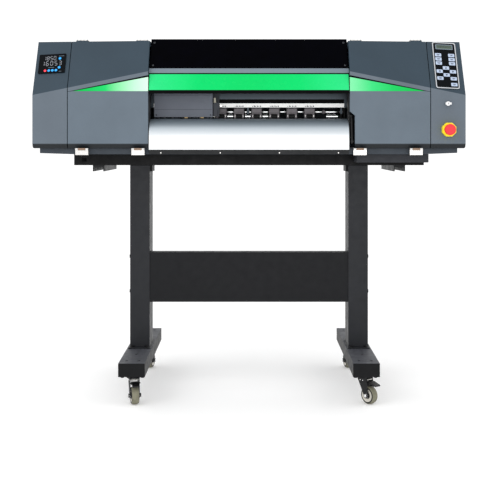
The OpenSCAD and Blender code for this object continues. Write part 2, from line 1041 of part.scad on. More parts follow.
// Wheel: tread with a recessed hub on both sides.
module caster_wheel() {
    w = wheel_w / 2;
    color([0.56, 0.56, 0.5])
        translate([trail, 0, wheel_r])
            rotate([90, 0, 0])
                rotate_extrude()
                    polygon([[4 + run, -w], [11, -w], [12, -w + 3],
                        [21, -w + 3], [22, -w], [wheel_r - 3, -w],
                        [wheel_r, -w + 3], [wheel_r, w - 3],
                        [wheel_r - 3, w], [22, w], [21, w - 3],
                        [12, w - 3], [11, w], [4 + run, w]]);
}

// Foot pedal over the wheel, turning on the fork's cross pin.
module brake_pedal() {
    half = wheel_w / 2;
    color([0.07, 0.07, 0.08])
        difference() {
            union() {
                along_y([-half + 1, half - 1])
                    polygon([[trail - 3, 81], [trail + 12, 82],
                        [trail + 40, 73], [trail + 41, 69],
                        [trail + 36, 69], [trail + 11, 76.5],
                        [trail + 6, 71]]);
                rod_y(trail + 4, [-half + 1, half - 1], 76, 6);
            }
            rod_y(trail + 4, [-half, half], 76, 3 + run);
        }
}

module caster_yoke_fl() {
    at_caster(-1, -1, head_fl)
        caster_yoke(true);
}

module caster_yoke_fr() {
    at_caster(1, -1, head_fr)
        caster_yoke(true);
}

module caster_yoke_rl() {
    at_caster(-1, 1, head_rl)
        caster_yoke(false);
}

module caster_yoke_rr() {
    at_caster(1, 1, head_rr)
        caster_yoke(false);
}

module caster_wheel_fl() {
    at_caster(-1, -1, head_fl)
        caster_wheel();
}

module caster_wheel_fr() {
    at_caster(1, -1, head_fr)
        caster_wheel();
}

module caster_wheel_rl() {
    at_caster(-1, 1, head_rl)
        caster_wheel();
}

module caster_wheel_rr() {
    at_caster(1, 1, head_rr)
        caster_wheel();
}

module brake_pedal_fl() {
    at_caster(-1, -1, head_fl)
        brake_pedal();
}

module brake_pedal_fr() {
    at_caster(1, -1, head_fr)
        brake_pedal();
}

// ------------------------------------------------------------- roll holder

// Two arms under the beam, each ending in a bearing for the media shaft.
module roll_brackets() {
    color([0.12, 0.12, 0.13])
        both_sides()
            difference() {
                union() {
                    box([556, 600], [-50, 300], [column_z - 8, column_z]);
                    box([556, 560], [-50, 300], [column_z - 24, column_z]);
                    box([596, 600], [-50, 300], [column_z - 24, column_z]);
                    box([574, 582], [shaft_y - 30, shaft_y + 18],
                        [column_z - 4, shaft_z]);
                    rod_x([574, 582], shaft_y, shaft_z, 18);
                }
                rod_x([570, 586], shaft_y, shaft_z, 10 + run);
            }
}

// Media shaft with two flanged core holders.
module media_shaft() {
    color([0.6, 0.61, 0.63])
        union() {
            rod_x([-592, 592], shaft_y, shaft_z, 10);
            for (s = [-1, 1]) {
                rod_x([s * 332 - 18, s * 332 + 18], shaft_y, shaft_z, 38);
                rod_x([s * 352 - 3, s * 352 + 3], shaft_y, shaft_z, 46);
            }
        }
}

// ---------------------------------------------------------------- assembly

foot_left();
foot_right();
column_left();
column_right();
crossbar();
stand_beam();
stand_bolts();
caster_plates();
base_tray();
waste_tray();
side_plate_left();
side_plate_right();
end_cap_left();
end_cap_right();
rear_cover();
platen();
apron();
front_strip();
guide_beam();
hinge_leaves();
timing_belt();
keypad_panel();
lcd_window();
temp_panel();
estop_collar();
roll_brackets();
power_inlet();
lid_window();
lid_trim();
lid_band();
lid_lip();
upper_cover_left();
upper_cover_right();
door_left();
door_right();
wedge_left();
wedge_right();
carriage_plate();
carriage_cover();
print_head();
blade_holder();
drive_pulley();
idler_pulley();
feed_roller();
pinch_arms();
pinch_wheels();
lift_lever();
estop_button();
key_switch();
media_shaft();
caster_yoke_fl();
caster_yoke_fr();
caster_yoke_rl();
caster_yoke_rr();
caster_wheel_fl();
caster_wheel_fr();
caster_wheel_rl();
caster_wheel_rr();
brake_pedal_fl();
brake_pedal_fr();
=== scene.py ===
"""Looks for the roll printer cutter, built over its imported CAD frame.

Pieces are drawn in millimetres, as the CAD is, and handed over in metres.
X runs to the machine's right, Y to its back and Z up.
"""
import math

import bmesh
import bpy
from mathutils import Matrix, Vector


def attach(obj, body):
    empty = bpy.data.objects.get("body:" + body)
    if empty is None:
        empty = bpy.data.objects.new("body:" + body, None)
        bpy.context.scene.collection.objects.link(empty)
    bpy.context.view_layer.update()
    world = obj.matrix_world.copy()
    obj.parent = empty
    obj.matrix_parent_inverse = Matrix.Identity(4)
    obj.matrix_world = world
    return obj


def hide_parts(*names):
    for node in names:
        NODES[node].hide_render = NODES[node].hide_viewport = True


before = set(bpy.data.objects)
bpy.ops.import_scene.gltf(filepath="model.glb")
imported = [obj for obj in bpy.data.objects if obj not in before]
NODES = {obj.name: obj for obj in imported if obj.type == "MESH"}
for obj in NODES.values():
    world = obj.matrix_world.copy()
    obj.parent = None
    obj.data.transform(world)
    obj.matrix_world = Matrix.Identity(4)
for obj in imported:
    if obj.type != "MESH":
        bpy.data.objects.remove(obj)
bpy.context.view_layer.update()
MM = 0.001

# ------------------------------------------------- places shared with the CAD
# Millimetres, as in part.scad. A pin or bar is given by Y and Z, and a place
# on the front by X and Z. The opening and the lid are given by half widths.

OPEN_X = 366
CREASE_Z = 1202
CREASE_FALL = 0.205
LEAN = 0.52
# Heights over which the covers' painted foot shade fades into the face tone.
FOOT_BLEND_Z = (934.5, 938.5)
FRONT_Y = -234
BACK_Y = 234
LID_X = 367.8
WINDOW_RUN, WINDOW_RISE = 88, 117
BAND_RUN, BAND_RISE = 27, 64
COVER_PIN = (-125, 1323.8)
COVER_HINGE_X = (401, 626)
DOOR_PIN = (-240, 917)
DOOR_HINGE_X = (405, 610)
PINCH_PITCH = 67
PINCH_XS = [230 - PINCH_PITCH * i for i in range(9)]
LIFT_BAR = (-66, 1058)
CARRIAGE_Y = -145
KNOB_AT = (-105, 1079)
KEYPAD_AT = (728, 1226)
KEYPAD_SIZE = (89, 200)
TEMP_AT = (729, 1232)
KEY_AT = (726, 1083)
STOP_AT = (728, 988)
SHAFT_PIN = (282, 892)
COLUMN_X = 418
COLUMN_HALF = 37.5
SWIVEL_Y = 262
TRAIL = 24
WHEEL_R = 31.5
WHEEL_HALF = 14
# Side, front or back, and heading in degrees of each caster.
CASTERS = {"fl": (-1, -1, 285), "fr": (1, -1, 311),
           "rl": (-1, 1, 80), "rr": (1, 1, 100)}
BRAKED = ("fl", "fr")

# ---------------------------------------------------------------- materials

# Most of a noise's values lie between these two.
NOISE_SPAN = (0.3, 0.7)
WHITE = (1, 1, 1, 1)


def srgb(red, green, blue):
    """Linear colour from everyday 0-255 values."""
    def linear(value):
        value = value / 255
        if value <= 0.04045:
            return value / 12.92
        return ((value + 0.055) / 1.055) ** 2.4
    return (linear(red), linear(green), linear(blue), 1.0)


def scaled(colour, factor):
    """The colour made lighter or darker."""
    return tuple(min(1.0, part * factor) for part in colour[:3]) + (1.0,)


def fill(node, values):
    """Sets a node's inputs, with spaces written as underscores."""
    for label, value in values.items():
        node.inputs[label.replace("_", " ")].default_value = value


class Surface:
    """A Principled material worked in object coordinates."""

    def __init__(self, name):
        self.mat = bpy.data.materials.new(name)
        self.mat.use_nodes = True
        self.nodes = self.mat.node_tree.nodes
        self.links = self.mat.node_tree.links
        self.shader = self.nodes["Principled BSDF"]
        self.coords = self.nodes.new("ShaderNodeTexCoord")

    def set(self, **values):
        """Sets the shader's own inputs."""
        fill(self.shader, values)

    def node(self, kind, **values):
        """A new node with some of its inputs set."""
        node = self.nodes.new(kind)
        fill(node, values)
        return node

    def feed(self, socket, value):
        """Gives a socket a constant, or links a node's output to it."""
        if isinstance(value, bpy.types.NodeSocket):
            self.links.new(value, socket)
        else:
            socket.default_value = value

    def stretched(self, scale):
        """Object coordinates scaled along each axis."""
        node = self.node("ShaderNodeMapping", Scale=scale)
        self.links.new(self.coords.outputs["Object"], node.inputs["Vector"])
        return node.outputs["Vector"]

    def noise(self, scale, detail, rough=0.55, stretch=(1, 1, 1)):
        """Cloudy noise, finer as the scale rises."""
        node = self.node("ShaderNodeTexNoise", Scale=scale, Detail=detail,
                         Roughness=rough)
        self.links.new(self.stretched(stretch), node.inputs["Vector"])
        return node.outputs["Fac"]

    def cells(self, scale):
        """Distance to the nearest of scattered points, as for knurling."""
        node = self.node("ShaderNodeTexVoronoi", Scale=scale)
        self.links.new(self.stretched((1, 1, 1)), node.inputs["Vector"])
        return node.outputs["Distance"]

    def ramp(self, source, stops):
        """Colours laid along a value from 0 to 1."""
        node = self.nodes.new("ShaderNodeValToRGB")
        ramp = node.color_ramp
        while len(ramp.elements) < len(stops):
            ramp.elements.new(0.5)
        for element, (place, colour) in zip(ramp.elements, stops):
            element.position = place
            element.color = colour
        self.links.new(source, node.inputs["Fac"])
        return node.outputs["Color"]

    def mapped(self, source, inner, outer=(0.0, 1.0)):
        """The source with its inner range carried onto the outer one."""
        node = self.node("ShaderNodeMapRange",
                         From_Min=inner[0], From_Max=inner[1],
                         To_Min=outer[0], To_Max=outer[1])
        self.links.new(source, node.inputs["Value"])
        return node.outputs["Result"]

    def mixed(self, kind, factor, first, second):
        """Two colours mixed by a factor."""
        node = self.nodes.new("ShaderNodeMixRGB")
        node.blend_type = kind
        self.feed(node.inputs["Fac"], factor)
        self.feed(node.inputs["Color1"], first)
        self.feed(node.inputs["Color2"], second)
        return node.outputs["Color"]

    def calc(self, kind, *values):
        """A sum or other small calculation on values."""
        node = self.nodes.new("ShaderNodeMath")
        node.operation = kind
        for socket, value in zip(node.inputs, values):
            self.feed(socket, value)
        return node.outputs[0]

    def split(self, vector):
        """The three parts of a vector."""
        node = self.nodes.new("ShaderNodeSeparateXYZ")
        self.links.new(vector, node.inputs[0])
        return node.outputs

    def place(self, across, up):
        """|x| * across + z * up, in metres of object space."""
        parts = self.split(self.coords.outputs["Object"])
        wide = self.calc("MULTIPLY", self.calc("ABSOLUTE", parts["X"]),
                         across)
        return self.calc("ADD", wide, self.calc("MULTIPLY", parts["Z"], up))

    def paint(self, source):
        """Links a colour to the shader's base colour."""
        self.links.new(source, self.shader.inputs["Base Color"])

    def mottle(self, colour, scale, amount):
        """Base colour wandering a little lighter and darker."""
        low, high = NOISE_SPAN
        stops = [(low, scaled(colour, 1 - amount)),
                 (high, scaled(colour, 1 + amount))]
        self.paint(self.ramp(self.noise(scale, 4.0), stops))

    def clouded(self, base, scale=9.0, amount=0.05):
        """Base colour from a node, under a faint mottle."""
        low, high = NOISE_SPAN
        grey = [(low, scaled(WHITE, 1 - 2 * amount)), (high, WHITE)]
        cloud = self.ramp(self.noise(scale, 4.0), grey)
        self.paint(self.mixed("MULTIPLY", 1.0, base, cloud))

    def roughness(self, source, low, high):
        """Roughness wandering between two values."""
        self.links.new(self.mapped(source, NOISE_SPAN, (low, high)),
                       self.shader.inputs["Roughness"])

    def bump(self, source, depth, strength):
        """Fine relief, its depth in metres."""
        node = self.node("ShaderNodeBump", Distance=depth, Strength=strength)
        self.links.new(source, node.inputs["Height"])
        self.links.new(node.outputs["Normal"], self.shader.inputs["Normal"])


def spark_grain(s, rough):
    """Fine spark-eroded texture of a moulding."""
    s.roughness(s.noise(60.0, 5.0), rough - 0.05, rough + 0.07)
    s.bump(s.noise(1400.0, 2.0), 0.00012, 0.35)
    s.set(Specular_IOR_Level=0.3)


def coat_grain(s, rough, specular):
    """Orange-peel grain of powder coat, with faint handling marks."""
    s.roughness(s.noise(35.0, 6.0), rough - 0.08, rough + 0.1)
    s.bump(s.noise(700.0, 3.0), 0.0003, 0.4)
    s.set(Specular_IOR_Level=specular)


def film_skin(s, rough):
    """Smooth, slightly wavy skin of a film or gloss moulding."""
    s.roughness(s.noise(50.0, 5.0), rough - 0.04, rough + 0.08)
    s.bump(s.noise(260.0, 2.0), 0.00008, 0.2)


def moulded(name, colour, rough):
    """Spark-textured moulding with a faint unevenness of tone."""
    s = Surface(name)
    s.mottle(colour, 9.0, 0.05)
    spark_grain(s, rough)
    return s.mat


def housing(name, foot, face, top):
    """Moulded cover: foot darkened as painted shade, mid grey face, and above
    the crease a top tone that is painted shade where it is darker.
    """
    s = Surface(name)
    crease = (CREASE_Z + CREASE_FALL * OPEN_X) * MM
    blend = 0.4 * MM
    # Mask above the crease, where the upward-leaning faces take a darker tone
    # as painted shade.
    above = s.mapped(s.place(CREASE_FALL, 1.0),
                     (crease - blend, crease + blend))
    # Below this rise the foot's near-black is painted shade of the down-facing
    # chamfer.
    rise = s.mapped(s.place(0.0, 1.0), [z * MM for z in FOOT_BLEND_Z])
    lower = s.mixed("MIX", rise, foot, face)
    s.clouded(s.mixed("MIX", above, lower, top))
    spark_grain(s, 0.45)
    return s.mat


def green_glare_film(name, stops):
    """Glossy green film, with a painted highlight graded along the machine's
    width.
    """
    s = Surface(name)
    glare_fade = s.mapped(s.place(1.0, 0.0), (0.0, 0.75))
    s.clouded(s.ramp(glare_fade, stops), 14.0, 0.02)
    film_skin(s, 0.24)
    s.set(Specular_IOR_Level=0.12)
    return s.mat


def top_lit_coat(name, side, top):
    """Black powder coat with its upper faces lightened as painted light."""
    s = Surface(name)
    facing = s.nodes.new("ShaderNodeNewGeometry").outputs["Normal"]
    # Upward faces take the lighter tone: painted light.
    painted_top_light = s.mapped(s.split(facing)["Z"], (0.3, 0.9))
    s.clouded(s.mixed("MIX", painted_top_light, side, top), 14.0, 0.1)
    coat_grain(s, 0.5, 0.2)
    return s.mat


def powder_coat(name, colour, rough=0.5):
    """Powder coat of one even colour."""
    s = Surface(name)
    s.mottle(colour, 14.0, 0.12)
    coat_grain(s, rough, 0.3)
    return s.mat


def brushed(name, colour, rough):
    """Brushed or drawn metal, its grain running along the machine."""
    s = Surface(name)
    grain = s.noise(6.0, 6.0, 0.7, (4, 260, 260))
    stops = [(0.25, scaled(colour, 0.82)), (0.75, scaled(colour, 1.1))]
    s.paint(s.ramp(grain, stops))
    s.roughness(grain, rough - 0.06, rough + 0.1)
    s.bump(grain, 0.0001, 0.25)
    s.set(Metallic=1.0)
    return s.mat


def satin_sheet(name, stops):
    """Anodised sheet of the heated apron, darker towards its top as painted
    shade.
    """
    s = Surface(name)
    # Height ramp that carries the painted shade.
    height = s.mapped(s.place(0.0, 1.0), (0.94, 1.032))
    s.clouded(s.ramp(height, stops), 5.0, 0.01)
    s.roughness(s.noise(30.0, 5.0, 0.6, (1, 4, 4)), 0.3, 0.42)
    s.bump(s.noise(900.0, 2.0), 0.00006, 0.2)
    s.set(Metallic=0.25, Specular_IOR_Level=0.5)
    return s.mat


def acrylic(name, colour):
    """Polished dark acrylic with a little dust and wiping haze."""
    s = Surface(name)
    s.mottle(colour, 20.0, 0.3)
    s.roughness(s.noise(12.0, 6.0, 0.65, (1, 3, 3)), 0.05, 0.14)
    s.bump(s.noise(6.0, 1.0), 0.0004, 0.1)
    s.set(Specular_IOR_Level=0.015)
    return s.mat


def gloss(name, colour, rough, coat=0.0, shine=0.5):
    """Glossy moulding or film."""
    s = Surface(name)
    s.mottle(colour, 12.0, 0.04)
    film_skin(s, rough)
    s.set(Coat_Weight=coat, Coat_Roughness=0.12, Specular_IOR_Level=shine)
    return s.mat


def rubber(name, colour):
    """Matt rubber with a scuffed, dusty skin."""
    s = Surface(name)
    s.mottle(colour, 60.0, 0.22)
    s.roughness(s.noise(90.0, 6.0), 0.65, 0.87)
    s.bump(s.noise(1000.0, 4.0), 0.0003, 0.5)
    return s.mat


def lamp(name, colour, power):
    """Surface that emits light, a little uneven in tone: lit from within on
    the displays and buttons, a painted glow on the scale strip, which is no
    lamp.
    """
    s = Surface(name)
    s.mottle(colour, 300.0, 0.1)
    s.roughness(s.noise(400.0, 2.0), 0.3, 0.4)
    s.set(Emission_Color=colour, Emission_Strength=power)
    return s.mat


def grit_metal(name, colour):
    """Machined roller with knurled grit bands."""
    s = Surface(name)
    s.mottle(colour, 300.0, 0.2)
    s.roughness(s.noise(500.0, 3.0), 0.35, 0.55)
    s.bump(s.cells(900.0), 0.0003, 0.5)
    s.set(Metallic=1.0)
    return s.mat


# Near-black painted shade for the covers' chamfered foot.
FOOT_SHADE = srgb(20, 25, 29)
# Covers' tones: the end caps and upper covers are darkened above the crease as
# painted shade; the doors keep one face tone.
HOUSING = housing("cover_dark", FOOT_SHADE, srgb(93, 103, 113),
                  srgb(46, 62, 74))
DOORS = housing("cover_grey", FOOT_SHADE, srgb(93, 105, 116),
                srgb(93, 105, 116))
CARRIAGE = moulded("carriage_grey", srgb(96, 101, 112), 0.45)
TRAY = powder_coat("tray_grey", srgb(47, 54, 62))
BLACK_PLATE = powder_coat("black_plate", srgb(14, 16, 19))
STAND = powder_coat("stand_black", srgb(20, 22, 27), 0.48)
# Black coats lightened on their upward faces as painted light.
FEET = top_lit_coat("foot_black", srgb(4, 5, 8), srgb(78, 80, 86))
BAR = top_lit_coat("crossbar_black", srgb(14, 15, 19), srgb(40, 42, 46))
BEAM = top_lit_coat("beam_black", srgb(3, 3, 5), srgb(20, 20, 22))
# Near-black, low-shine painted shade: on the lid's lip, the line along the
# green band and the band over the scale strip.
SHADE_BLACK = gloss("shade_black", srgb(2, 2, 3), 0.5, shine=0.05)
BOX_GREY = powder_coat("box_grey", srgb(36, 38, 44))
STEEL = brushed("bright_steel", srgb(225, 223, 220), 0.25)
ALU = brushed("satin_alu", srgb(200, 203, 207), 0.32)
ALU_DARK = brushed("dark_alu", srgb(74, 81, 87), 0.42)
PLATE = powder_coat("plate_grey", srgb(56, 59, 66))
BLOCK = powder_coat("block_grey", srgb(124, 119, 123))
SCREW_DARK = brushed("dark_screw", srgb(72, 74, 78), 0.4)
CHROME = brushed("chrome_steel", srgb(242, 242, 243), 0.12)
# Steel toned brown as painted shade on the door hinges' knuckles.
KNUCKLE_SHADE = brushed("hinge_knuckle", srgb(150, 128, 112), 0.35)
# Apron tones darken upward as painted shade.
APRON = satin_sheet("apron_alu", [
    (0.0, srgb(224, 226, 227)), (0.3, srgb(211, 215, 218)),
    (0.56, srgb(179, 188, 195)), (0.75, srgb(142, 153, 162)),
    (0.88, srgb(118, 130, 140)), (1.0, srgb(110, 122, 132))])
# Green films with painted highlights; the pale inner ends of the wedges are
# painted glare.
BAND = green_glare_film("green_plastic", [
    (0.0, srgb(0, 200, 96)), (0.25, srgb(0, 204, 102)),
    (0.5, srgb(44, 214, 128))])
WEDGE_L = green_glare_film("wedge_left_green", [
    (0.49, srgb(204, 240, 214)), (0.56, srgb(178, 234, 196)),
    (0.7, srgb(26, 200, 100)), (0.82, srgb(0, 182, 74))])
WEDGE_R = green_glare_film("wedge_right_green", [
    (0.49, srgb(122, 222, 160)), (0.6, srgb(48, 206, 116)),
    (0.7, srgb(8, 192, 88)), (0.8, srgb(0, 182, 74))])
ACRYLIC = acrylic("black_acrylic", srgb(1, 1, 4))
TRIM = gloss("trim_grey", srgb(104, 117, 128), 0.4)
BELT = rubber("belt_black", srgb(25, 25, 26))
PINCH = rubber("pinch_rubber", srgb(14, 14, 15))
BLACK = moulded("black_plastic", srgb(13, 13, 15), 0.4)
HEAD = brushed("head_gold", srgb(172, 148, 108), 0.4)
CREAM = moulded("cream_plastic", srgb(228, 222, 205), 0.5)
FILM = gloss("keypad_film", srgb(3, 5, 9), 0.35, shine=0.08)
KEYS = gloss("key_blue_grey", srgb(176, 191, 214), 0.4)
PRINT = gloss("key_print", srgb(28, 34, 52), 0.5)
LCD = gloss("lcd_glass", srgb(86, 106, 84), 0.2, coat=0.1)
YELLOW = gloss("yellow_plastic", srgb(250, 226, 0), 0.35, coat=0.1)
RED = gloss("red_plastic", srgb(232, 32, 44), 0.35, coat=0.1)
TYRE = rubber("tyre_olive", srgb(118, 116, 98))
HUB = moulded("hub_white", srgb(206, 202, 192), 0.4)
GRIT = grit_metal("grit_roller", srgb(175, 177, 180))
DIGIT = lamp("lit_digit", srgb(128, 131, 138), 0.3)
BLUE_LAMP = lamp("lit_blue", srgb(30, 150, 225), 0.45)
RED_LAMP = lamp("lit_red", srgb(232, 50, 70), 0.4)
# The scale strip's emission is a painted glow; it is no lamp.
STRIP_GLOW = lamp("scale_strip", srgb(252, 252, 250), 0.28)

NODE_LOOK = {
    "foot_left": FEET, "foot_right": FEET,
    "column_left": STAND, "column_right": STAND,
    "crossbar": BAR, "stand_beam": BEAM,
    "stand_bolts": STEEL, "caster_plates": STEEL,
    "base_tray": TRAY, "waste_tray": BOX_GREY,
    "side_plate_left": BLACK_PLATE, "side_plate_right": BLACK_PLATE,
    "end_cap_left": HOUSING, "end_cap_right": HOUSING,
    "rear_cover": TRAY, "platen": ALU, "apron": APRON,
    "front_strip": BLACK_PLATE, "guide_beam": ALU_DARK,
    "hinge_leaves": STEEL, "timing_belt": BELT,
    "keypad_panel": FILM, "lcd_window": LCD, "temp_panel": FILM,
    "estop_collar": YELLOW, "roll_brackets": BLACK_PLATE,
    "power_inlet": BLACK, "lid_window": ACRYLIC, "lid_trim": TRIM,
    "lid_band": BAND, "lid_lip": SHADE_BLACK,
    "upper_cover_left": HOUSING, "upper_cover_right": HOUSING,
    "door_left": DOORS, "door_right": DOORS,
    "wedge_left": WEDGE_L, "wedge_right": WEDGE_R,
    "carriage_plate": PLATE, "carriage_cover": CARRIAGE,
    "print_head": HEAD, "blade_holder": CREAM, "drive_pulley": ALU,
    "idler_pulley": ALU, "feed_roller": GRIT, "pinch_arms": BLOCK,
    "pinch_wheels": PINCH, "lift_lever": BLACK, "estop_button": RED,
    "key_switch": CHROME, "media_shaft": ALU,
}
for corner in CASTERS:
    NODE_LOOK["caster_yoke_" + corner] = BLACK_PLATE
    NODE_LOOK["caster_wheel_" + corner] = TYRE
for corner in BRAKED:
    NODE_LOOK["brake_pedal_" + corner] = BLACK

# How far the edges of some nodes are softened, in millimetres.
EDGE = {"end_cap_left": 1.3, "end_cap_right": 1.3, "door_left": 1.0,
        "door_right": 1.0, "upper_cover_left": 1.0,
        "upper_cover_right": 1.0, "foot_left": 1.2, "foot_right": 1.2,
        "column_left": 1.2, "column_right": 1.2, "estop_button": 2.0,
        "estop_collar": 1.5, "carriage_cover": 0.8, "stand_beam": 1.0,
        "crossbar": 1.0, "waste_tray": 0.8, "base_tray": 0.8}


def finish_nodes():
    """Gives each CAD node its material, and some a softened edge."""
    for name, obj in NODES.items():
        obj.data.materials.clear()
        obj.data.materials.append(NODE_LOOK[name])
        if name in EDGE:
            soften(obj, EDGE[name])


def soften(obj, width):
    """Rounds the sharp edges by modifiers, the mesh itself untouched."""
    weld = obj.modifiers.new("weld", "WELD")
    weld.merge_threshold = 0.01 * MM
    bevel = obj.modifiers.new("edge", "BEVEL")
    bevel.width = width * MM
    bevel.segments = 2
    bevel.limit_method = "ANGLE"
    bevel.angle_limit = math.radians(32)
    bevel.use_clamp_overlap = True


# -------------------------------------------------------------- piece tools


def turned_about(degrees, axis):
    """Rotation about one axis, in degrees."""
    return Matrix.Rotation(math.radians(degrees), 4, axis)


# Each turn carries a piece's own Z to the side it is named for.
UP = Matrix()
DOWN = turned_about(180, "X")
TO_RIGHT = turned_about(90, "Y")
TO_LEFT = TO_RIGHT.inverted()
TO_FRONT = turned_about(90, "X")
TO_BACK = TO_FRONT.inverted()
# Outline drawn in Y and Z, and raised to the right.
IN_SIDE_VIEW = turned_about(90, "Z") @ turned_about(90, "X")
MIRROR = Matrix.Diagonal((-1, 1, 1, 1))


def spot(x, y, z, turn=UP):
    """Frame at a place, turned one of the ways above."""
    return Matrix.Translation((x, y, z)) @ turn


def facing_slope(run, rise):
    """Turn whose Z leaves a slope that faces forwards and upwards."""
    return Matrix.Rotation(math.radians(90) - math.atan2(run, rise), 4, "X")


def circle(radius, steps):
    """Points evenly round a circle."""
    angles = [2 * math.pi * i / steps for i in range(steps)]
    return [(radius * math.cos(a), radius * math.sin(a)) for a in angles]


def rounded(centre, size, inset=0.0):
    """Points of a rectangle of width, height and corner radius."""
    width, height, radius = size
    radius = max(radius - inset, 0.05)
    outline = []
    for quarter, (sx, sy) in enumerate(((1, 1), (-1, 1), (-1, -1), (1, -1))):
        cx = centre[0] + sx * (width / 2 - inset - radius)
        cy = centre[1] + sy * (height / 2 - inset - radius)
        for i in range(5):
            a = math.radians(90 * quarter + 22.5 * i)
            outline.append((cx + radius * math.cos(a),
                            cy + radius * math.sin(a)))
    return outline


class Shape:
    """A piece built from closed solids, drawn in millimetres."""

    def __init__(self):
        self.bm = bmesh.new()

    def points(self, frame_at, outline, height):
        """Vertices of a flat outline at a height in the frame."""
        return [self.bm.verts.new(frame_at @ Vector((x, y, height)))
                for x, y in outline]

    def strip(self, one, two):
        """Quads that join two equal loops of vertices."""
        for i in range(len(one)):
            j = (i + 1) % len(one)
            self.bm.faces.new((one[i], one[j], two[j], two[i]))

    def skin(self, rings):
        """Closes a stack of equal rings into one solid."""
        for one, two in zip(rings, rings[1:]):
            self.strip(one, two)
        self.bm.faces.new(rings[0][::-1])
        self.bm.faces.new(rings[-1])

    def tube(self, rings):
        """Joins equal rings in a loop, the last one to the first."""
        for one, two in zip(rings, rings[1:] + rings[:1]):
            self.strip(one, two)

    def prism(self, frame_at, outline, low, high):
        """Outline in the frame's XY plane, raised from low to high."""
        floor = self.points(frame_at, outline, low)
        roof = self.points(frame_at, outline, high)
        self.bm.faces.new(floor[::-1])
        self.bm.faces.new(roof)
        self.strip(floor, roof)

    def block(self, frame_at, x, y, z):
        """Box between two places along each axis."""
        outline = [(x[0], y[0]), (x[1], y[0]), (x[1], y[1]), (x[0], y[1])]
        self.prism(frame_at, outline, z[0], z[1])

    def pad(self, frame_at, centre, size, low, high):
        """Plate with rounded corners, its top edge drawn in a little."""
        edge = min(0.35, (high - low) / 2)
        steps = ((0, low), (0, high - edge), (edge, high))
        self.skin([self.points(frame_at, rounded(centre, size, inset), z)
                   for inset, z in steps])

    def turned(self, frame_at, profile, steps=32):
        """Profile of radius and height, turned about the frame's Z."""
        self.skin([self.points(frame_at, circle(radius, steps), height)
                   for radius, height in profile])

    def hoop(self, frame_at, profile, steps=48):
        """Closed profile of radius and height, turned into a ring."""
        self.tube([self.points(frame_at, circle(radius, steps), height)
                   for radius, height in profile])

    def sleeve(self, frame_at, bore, radius, length, drop, run, steps):
        """Ring along Z, its outer edges chamfered by drop and run."""
        end = radius - drop
        self.hoop(frame_at, [
            (bore, 0), (end, 0), (radius, run), (radius, length - run),
            (end, length), (bore, length)], steps)

    def border(self, frame_at, centre, outer, inner, low, high):
        """Flat frame between two rounded rectangles."""
        outer = rounded(centre, outer)
        inner = rounded(centre, inner)
        corners = ((outer, low), (outer, high), (inner, high), (inner, low))
        self.tube([self.points(frame_at, line, z) for line, z in corners])

    def piece(self, name, look, body, slot_name, edge=0.0):
        """Hands the solids over as one named piece on a body."""
        bmesh.ops.recalc_face_normals(self.bm, faces=self.bm.faces)
        bmesh.ops.scale(self.bm, vec=(MM, MM, MM), verts=self.bm.verts)
        mesh = bpy.data.meshes.new(name)
        self.bm.to_mesh(mesh)
        self.bm.free()
        mesh.materials.append(look)
        for face in mesh.polygons:
            face.use_smooth = len(face.vertices) == 4
        mesh.set_sharp_from_angle(angle=math.radians(35))
        obj = bpy.data.objects.new(name, mesh)
        bpy.context.scene.collection.objects.link(obj)
        if edge:
            soften(obj, edge)
        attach(obj, body)
        return obj


def panel_frame(place):
    """Frame lying on the right end cap's slope, turned as its panels are."""
    x, z = place
    edge_z = CREASE_Z - CREASE_FALL * (x - OPEN_X)
    fall = LEAN * CREASE_FALL
    tilt = math.atan2(math.sqrt(1 + fall ** 2), LEAN)
    frame_at = Matrix.Translation((x, FRONT_Y + LEAN * (z - edge_z), z))
    frame_at = frame_at @ Matrix.Rotation(math.atan(fall), 4, "Z")
    frame_at = frame_at @ Matrix.Rotation(tilt, 4, "X")
    return frame_at @ turned_about(-3, "Z")


def caster_frame(corner):
    """Frame on the floor under a caster's pin, X along its trail."""
    sx, sy, heading = CASTERS[corner]
    return spot(sx * COLUMN_X, sy * SWIVEL_Y, 0, turned_about(heading, "Z"))


def screw(shape, frame_at, radius, height):
    """Domed screw head with a round socket."""
    shape.turned(frame_at, [
        (radius, 0), (radius, height * 0.45), (radius * 0.82, height * 0.85),
        (radius * 0.5, height), (radius * 0.48, height * 0.35)], 18)


# ----------------------------------------------------------------- controls


def display(at, y):
    """Rim and two rows of blank character cells of the keypad's display."""
    rim = Shape()
    rim.border(at, (0, y), (66, 21.5, 3), (58.4, 14.6, 1.2), 2.3, 3.6)
    rim.piece("lcd_rim", TRIM, "chassis", "trim_grey", 0.4)
    cells = Shape()
    first, pitch, wide = -25.6, 3.3, 2.2
    for i in range(16):
        left = first + pitch * i
        for row, half in ((-2.4, 1.6), (2.6, 2.0)):
            cells.block(at, (left, left + wide),
                        (y + row - half, y + row + half), (1.9, 2.15))
    cells.piece("lcd_cells", PRINT, "chassis", "black_plastic")


